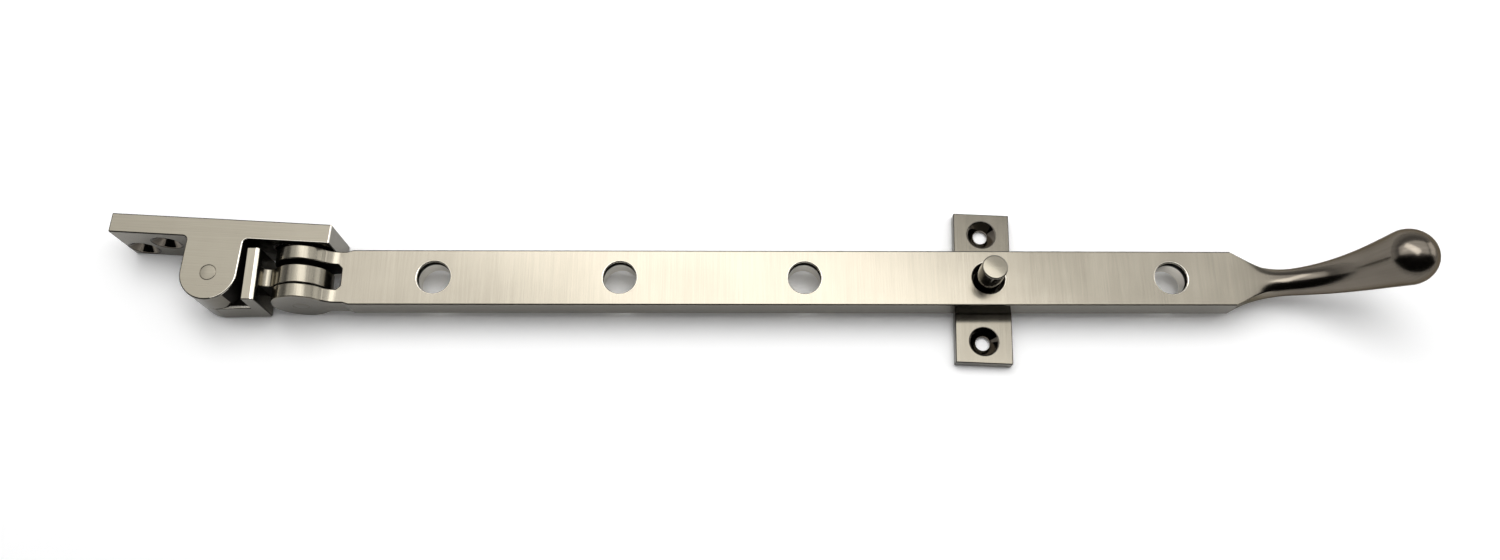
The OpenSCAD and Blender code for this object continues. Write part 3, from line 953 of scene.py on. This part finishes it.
# %% [markdown]
# ## The swivel
#
# The swivel turns on the bracket's pin and carries the tongue that the fork folds on. It has a
# half-height lug under the ear, a full-height shoulder, a waisted stem and the round tongue.
# These are three prisms joined into one, cut by the two pin holes.
#
# A narrow strip along the front of the lug catches the light in the photograph, so the top is cut
# along a line there, tilted a little and given a painted highlight. Walls in the narrow gaps are
# painted near black for the shade there.

# %% The swivel's outlines
ROOT = 1.6  # how deep the lug reaches into the shoulder
lug = arc(0, 0, EAR_R, 90, 270)
lug += [(SHOULDER_IN, -SHOULDER_W / 2), (SHOULDER_IN + ROOT, -SHOULDER_W / 2)]
lug += mirrored(lug[-2:])
low_round, high_round = SWIVEL_LOW + SHOULDER_ROUND, SWIVEL_TOP - SHOULDER_ROUND
shoulder = [(SHOULDER_IN, SWIVEL_LOW)]
shoulder += arc(SHOULDER_OUT - SHOULDER_ROUND, low_round, SHOULDER_ROUND, -90, 0, 15)
shoulder += arc(SHOULDER_OUT - SHOULDER_ROUND, high_round, SHOULDER_ROUND, 0, 90, 15)
shoulder += [(SHOULDER_IN, SWIVEL_TOP)]

# the tongue's round, and the two waists that lead to it from the shoulder
disc, crest = round_of(TONGUE_R)
waist_x = SHOULDER_OUT + WAIST_R - SWIVEL_REACH
waist_z = math.sqrt((disc + WAIST_R) ** 2 - (waist_x - RIDGE) ** 2)
lean = math.degrees(math.atan2(waist_z, RIDGE - waist_x))
upper = arc(RIDGE, 0, disc, 180 - crest, 180 - lean)[1:]
upper += arc(waist_x, waist_z, WAIST_R, -lean, -180, 7.5)[1:]
upper += [(waist_x - WAIST_R - 1, waist_z)]
tongue = [(x + SWIVEL_REACH, z + HINGE_Z)
          for x, z in arc(-RIDGE, 0, disc, -crest, crest) + upper + mirrored(upper)]
print("outlines of lug, shoulder and tongue:", len(lug), len(shoulder), len(tongue), "points")

# %% Joining the swivel
swivel = prism("swivel_link", lug, SWIVEL_LOW, LUG_TOP)
combine(swivel, "UNION", prism("shoulder", shoulder, -SHOULDER_W / 2, SHOULDER_W / 2, "XZ"),
        prism("tongue", tongue, -TONGUE_W / 2, TONGUE_W / 2, "XZ"))
combine(swivel, "DIFFERENCE", drill("lug_hole", PIN_D / 2 + RUN_FIT, -1, 17),
        lay_across(drill("tongue_hole", PIN_D / 2 + RUN_FIT, -9, 9), SWIVEL_REACH, 0, HINGE_Z))

# %% The strip along the lug's front
STRIP_LINE, STRIP_TILT = (0.65 - SHOULDER_W / 2) * MM, math.tan(math.radians(13))


def on_top(face):
    return face.normal.z > 0.99 and abs(face.calc_center_median().z / MM - LUG_TOP) < 0.05


bm = bmesh.new()
bm.from_mesh(swivel.data)
top = [f for f in bm.faces if on_top(f)]
parts = set(top) | {e for f in top for e in f.edges} | {v for f in top for v in f.verts}
bmesh.ops.bisect_plane(bm, geom=list(parts), plane_co=(0, STRIP_LINE, 0), plane_no=(0, 1, 0))
bm.normal_update()
strip = [f for f in bm.faces if on_top(f) and f.calc_center_median().y < STRIP_LINE]
# The strip carries a painted highlight.
for face in strip:
    face.material_index = BRIGHT
for vert in {v for f in strip for v in f.verts}:
    vert.co.z = LUG_TOP * MM - (STRIP_LINE - vert.co.y) * STRIP_TILT
bm.to_mesh(swivel.data)
bm.free()
print("front strip:", len(strip), "faces")


# %% Edges and finishes of the swivel
def kept_on_swivel(edge):
    """Hole rims, the waist's run-out at the shoulder, and the lug's edge under the ear."""
    middle, points = middle_of(edge), [v.co / MM for v in edge.verts]
    in_lug_hole = math.hypot(middle.x, middle.y) < PIN_D / 2 + 0.2
    at_shoulder = all(-0.1 < p.x - SHOULDER_OUT < 0.5 and abs(p.y) < TONGUE_W / 2 + 0.01 for p in points)
    under_lap = all(abs(p.z - LUG_TOP) < 0.3 and p.x < 0.2 for p in points)
    return in_lug_hole or near_pin(edge, SWIVEL_REACH) or at_shoulder or under_lap


soften(swivel, 0.22, kept_on_swivel, ridge_at(SWIVEL_REACH))
lay_grain(swivel, "Y", brushed)
# Painted shade: near black on the lug's top under the ear and on the shoulder's faces towards the ear and
# the tongue.
finish_faces(swivel, SHADE_PAINT, UP, lambda p: p.x <= 9 and p.y >= -5.5 and 7 <= p.z <= 8.1)
for facing in (-RIGHT, RIGHT):
    finish_faces(swivel, SHADE_PAINT, facing, lambda p: 8.5 <= p.x <= 12.2 and 1 <= p.z <= 15)
# A painted highlight on the shoulder's upper edges that face right.
finish_faces(swivel, BRIGHT, Vector((0.5, 0, 0.866)), lambda p: 11 <= p.x <= 12.2 and p.z >= 14.3, 0.85)
finish_faces(swivel, BUFFED, UP, lambda p: p.x >= 12 and abs(p.y) <= 3 and p.z >= 8, -0.2)
# The sides of the stem and tongue inside the fork are painted near black for the shade there.
for facing in (BACK, -BACK):
    finish_faces(swivel, SHADE_PAINT, facing, lambda p: p.x >= 12.5 and abs(p.y) <= 3)
place(swivel, AT_PIN)
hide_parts("swivel")
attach(swivel, "swivel_link")

# %% [markdown]
# ## The bracket
#
# The bracket is a plate that is screwed to the window, with an ear that reaches out over the
# swivel. Its two pairs of countersunk holes are staggered so that the screws don't split the
# wood. One cutter, shaped like the screw it is for, is repeated by the same tree as the peg holes.
# The ear's underside and its right wall, which face the swivel, are painted near black for the shade there.


# %% A countersunk screw hole
def screw_cutter(depth):
    """The shape of a countersunk screw in a plate of this depth."""
    cone = (SINK_D - SCREW_D) / 2
    return turned("screw", [(0, -1), (SCREW_D / 2, -1), (SCREW_D / 2, depth - cone),
                            (SINK_D / 2 + 1, depth + 1), (0, depth + 1)], PIN_SIDES)


ear = arc(0, 0, EAR_R, 180, 360)
ear += arc(EAR_R + EAR_FILLET, PLATE_IN - EAR_FILLET, EAR_FILLET, 180, 90, 15)
ear += [(EAR_R + EAR_FILLET, PLATE_IN + 2), (-EAR_R - EAR_FILLET, PLATE_IN + 2)]
ear += arc(-EAR_R - EAR_FILLET, PLATE_IN - EAR_FILLET, EAR_FILLET, 90, 0, 15)
plate = [(-BRACKET_LEFT, PLATE_IN), (BRACKET_RIGHT, PLATE_IN),
         (BRACKET_RIGHT, PLATE_IN + BRACKET_T), (-BRACKET_LEFT, PLATE_IN + BRACKET_T)]
bracket = prism("sash_bracket_casting", plate, 0, BRACKET_H)
combine(bracket, "UNION", prism("ear", ear, EAR_LOW, BRACKET_H))
combine(bracket, "DIFFERENCE", turned("ear_hole", [
    (0, 5), (PIN_D / 2, 5), (PIN_D / 2, BRACKET_H - 0.1), (PIN_D / 2 + 0.2, BRACKET_H + 0.1),
    (0, BRACKET_H + 0.1)], PIN_SIDES))
screw_pairs = ((SCREW_IN - BRACKET_LEFT, SCREW_APART), (BRACKET_RIGHT - SCREW_IN, -SCREW_APART))
for start, step in screw_pairs:
    cut_row(bracket, lay_across(screw_cutter(BRACKET_T), 0, PLATE_IN + BRACKET_T, 0), 2,
            (start, 0, SCREW_LOW), (step, 0, SCREW_RISE))


# %% Edges and finishes of the bracket
def kept_on_bracket(edge):
    """The rim of the pin's hole, and the ear's lower edge."""
    at_hole = math.hypot(*middle_of(edge).xy) < PIN_D / 2 + 0.4
    return at_hole or all(abs(v.co.z / MM - EAR_LOW) < 0.05 for v in edge.verts)


def on_ear(p):
    return p.x <= 9 and p.y <= 12


soften(bracket, 0.30, kept_on_bracket)
lay_grain(bracket, "X", brushed)
# The ear's underside and its right wall are painted near black for the shade over the swivel.
finish_faces(bracket, SHADE_PAINT, -UP, lambda p: on_ear(p) and p.x >= -9 and p.z <= 9)
finish_faces(bracket, SHADE_PAINT, RIGHT,
             lambda p: on_ear(p) and p.x >= 0 and EAR_LOW <= p.z <= BRACKET_H - 0.4, 0.62)
# A painted highlight on the ear's upper edges that face right.
finish_faces(bracket, BRIGHT, Vector((0.7, 0, 0.7)), lambda p: p.x >= 2 and p.z >= BRACKET_H - 0.5, 0.6)
for start, step in screw_pairs:
    for k in (0, 1):
        line_hole(bracket, (start + k * step, 0, SCREW_LOW + k * SCREW_RISE), BACK, SINK_D / 2 + 0.05)
place(bracket, Matrix.Rotation(math.radians(-BRACKET_ANGLE), 4, "Z"), AT_PIN)
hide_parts("sash_bracket")
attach(bracket, "bracket")

# %% [markdown]
# ## The peg plate
#
# The plate on the window frame is a cut length of flat bar with two countersunk holes. The peg
# is riveted into it from above.

# %% The peg plate
half_plate = [(PLATE_W / 2, PLATE_L / 2), (-PLATE_W / 2, PLATE_L / 2)]
peg_plate = prism("peg_plate_flat", mirrored(half_plate) + half_plate, 0, PLATE_T)
cut_row(peg_plate, screw_cutter(PLATE_T), 2, (0, -PLATE_SCREWS / 2, 0), (0, PLATE_SCREWS, 0))
combine(peg_plate, "DIFFERENCE", drill("tail_hole", TAIL_R, -1, 5))
soften(peg_plate, 0.25, lambda e: all(v.co.xy.length < (TAIL_R + 0.25) * MM for v in e.verts))
# The plate takes the darker side finish all over, painted shade.
lay_grain(peg_plate, "Y", shaded_sides)
for side in (-1, 1):
    line_hole(peg_plate, (0, side * PLATE_SCREWS / 2, 0), UP, SINK_D / 2 + 0.05)
place(peg_plate, Matrix.Rotation(math.radians(-PLATE_ANGLE), 4, "Z"))
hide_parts("peg_plate")
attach(peg_plate, "keeper")

# %% [markdown]
# ## The studio
#
# Metal looks like what it reflects. The stay lies on a white sheet under a broad soft light, a
# little behind it. A stronger light set askew makes the bright middle of the bar, a faint one
# lifts its left end, and a low one at the right lights the faces that look that way. The
# photographer's side is a dark card, which the polished bulb shows as its black lower half. The
# sheet is a little brighter to the camera than to the metal, so that the background comes out
# white and the metal not too pale.


# %% Floor and card
def sheet_of(name, corners, grey, seen=None):
    """A sheet of paper. seen is how bright the camera alone sees it, where that differs."""
    mesh = bpy.data.meshes.new(name)
    mesh.from_pydata(corners, [], [(0, 1, 2, 3)])
    made, finish = add_object(name, mesh), empty_material(name + "_paper")
    tree = finish.node_tree
    paper = node(tree, "ShaderNodeBsdfPrincipled", {
        "Base Color": (grey, grey, grey, 1), "Roughness": 0.9, "Specular IOR Level": 0.0})
    if seen:
        by_camera = node(tree, "ShaderNodeLightPath").outputs["Is Camera Ray"]
        bright = node(tree, "ShaderNodeBsdfDiffuse", {"Color": (seen, seen, seen, 1)})
        paper = node(tree, "ShaderNodeMixShader", {0: by_camera, 1: paper, 2: bright})
    node(tree, "ShaderNodeOutputMaterial", {"Surface": paper})
    made.data.materials.append(finish)
    made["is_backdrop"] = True
    return made


FLOOR_Z, FLOOR_HALF = -0.00005, 4
square = ((-1, -1), (1, -1), (1, 1), (-1, 1))
sheet_of("floor", [(x * FLOOR_HALF, y * FLOOR_HALF, FLOOR_Z) for x, y in square], 0.93, seen=1.15)
card = sheet_of("dark_card", [(-2.6, -0.60, 0.10), (2.6, -0.60, 0.10),
                              (1.6, -0.20, 0.95), (-1.6, -0.20, 0.95)], 0.004)
card.visible_camera = card.visible_diffuse = card.visible_shadow = False
print("floor and card ready")


# %% The lights
def soft_light(name, at, width, depth, radiance, turn=0.0, aim=None):
    """A rectangular lamp, given by the brightness of its surface. It faces down, or towards aim."""
    lamp = bpy.data.lights.new(name, "AREA")
    lamp.shape, lamp.size, lamp.size_y = "RECTANGLE", width, depth
    lamp.energy = radiance * math.pi * width * depth
    made = add_object(name, lamp)
    made.location, made.rotation_euler = at, (0.0, 0.0, math.radians(turn))
    if aim:
        made.rotation_euler = (Vector(aim) - Vector(at)).to_track_quat("-Z", "Y").to_euler()
    made.visible_camera = False
    print(name, round(lamp.energy, 2), "W")


soft_light("broad_light", (-0.05, 0.29, 0.66), 1.8, 0.72, 1.05)
soft_light("strong_light", (-0.04, 0.20, 0.60), 0.72, 0.24, 2.7, -45)
soft_light("left_light", (-0.36, 0.21, 0.60), 0.34, 0.30, 0.6)
soft_light("side_light", (1.15, 0.30, 0.45), 0.70, 0.50, 1.5, aim=(-0.1, 0.0, 0.0))

# %% The room's own light
world = bpy.data.worlds.new("room")
world.use_nodes = True
bpy.context.scene.world = world
sky = world.node_tree
sky.nodes.clear()
around = node(sky, "ShaderNodeTexCoord").outputs["Generated"]
facing = node(sky, "ShaderNodeSeparateXYZ", {"Vector": around})
shade = remap(sky, facing.outputs["Z"], 0.05, 0.4, 0.7, 0.25)
room = node(sky, "ShaderNodeBackground", {"Color": shade, "Strength": 1.0})
node(sky, "ShaderNodeOutputWorld", {"Surface": room})
bpy.context.scene.view_settings.view_transform = "Standard"
print("room light ready")

# %% [markdown]
# ## The size at the end
#
# The dressed stay has to keep the CAD model's size. Both boxes are printed in millimetres.

# %% Size
new_box = [list(corner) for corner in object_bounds()]
print("visual box in mm:", [[round(1000 * v, 2) for v in corner] for corner in new_box])
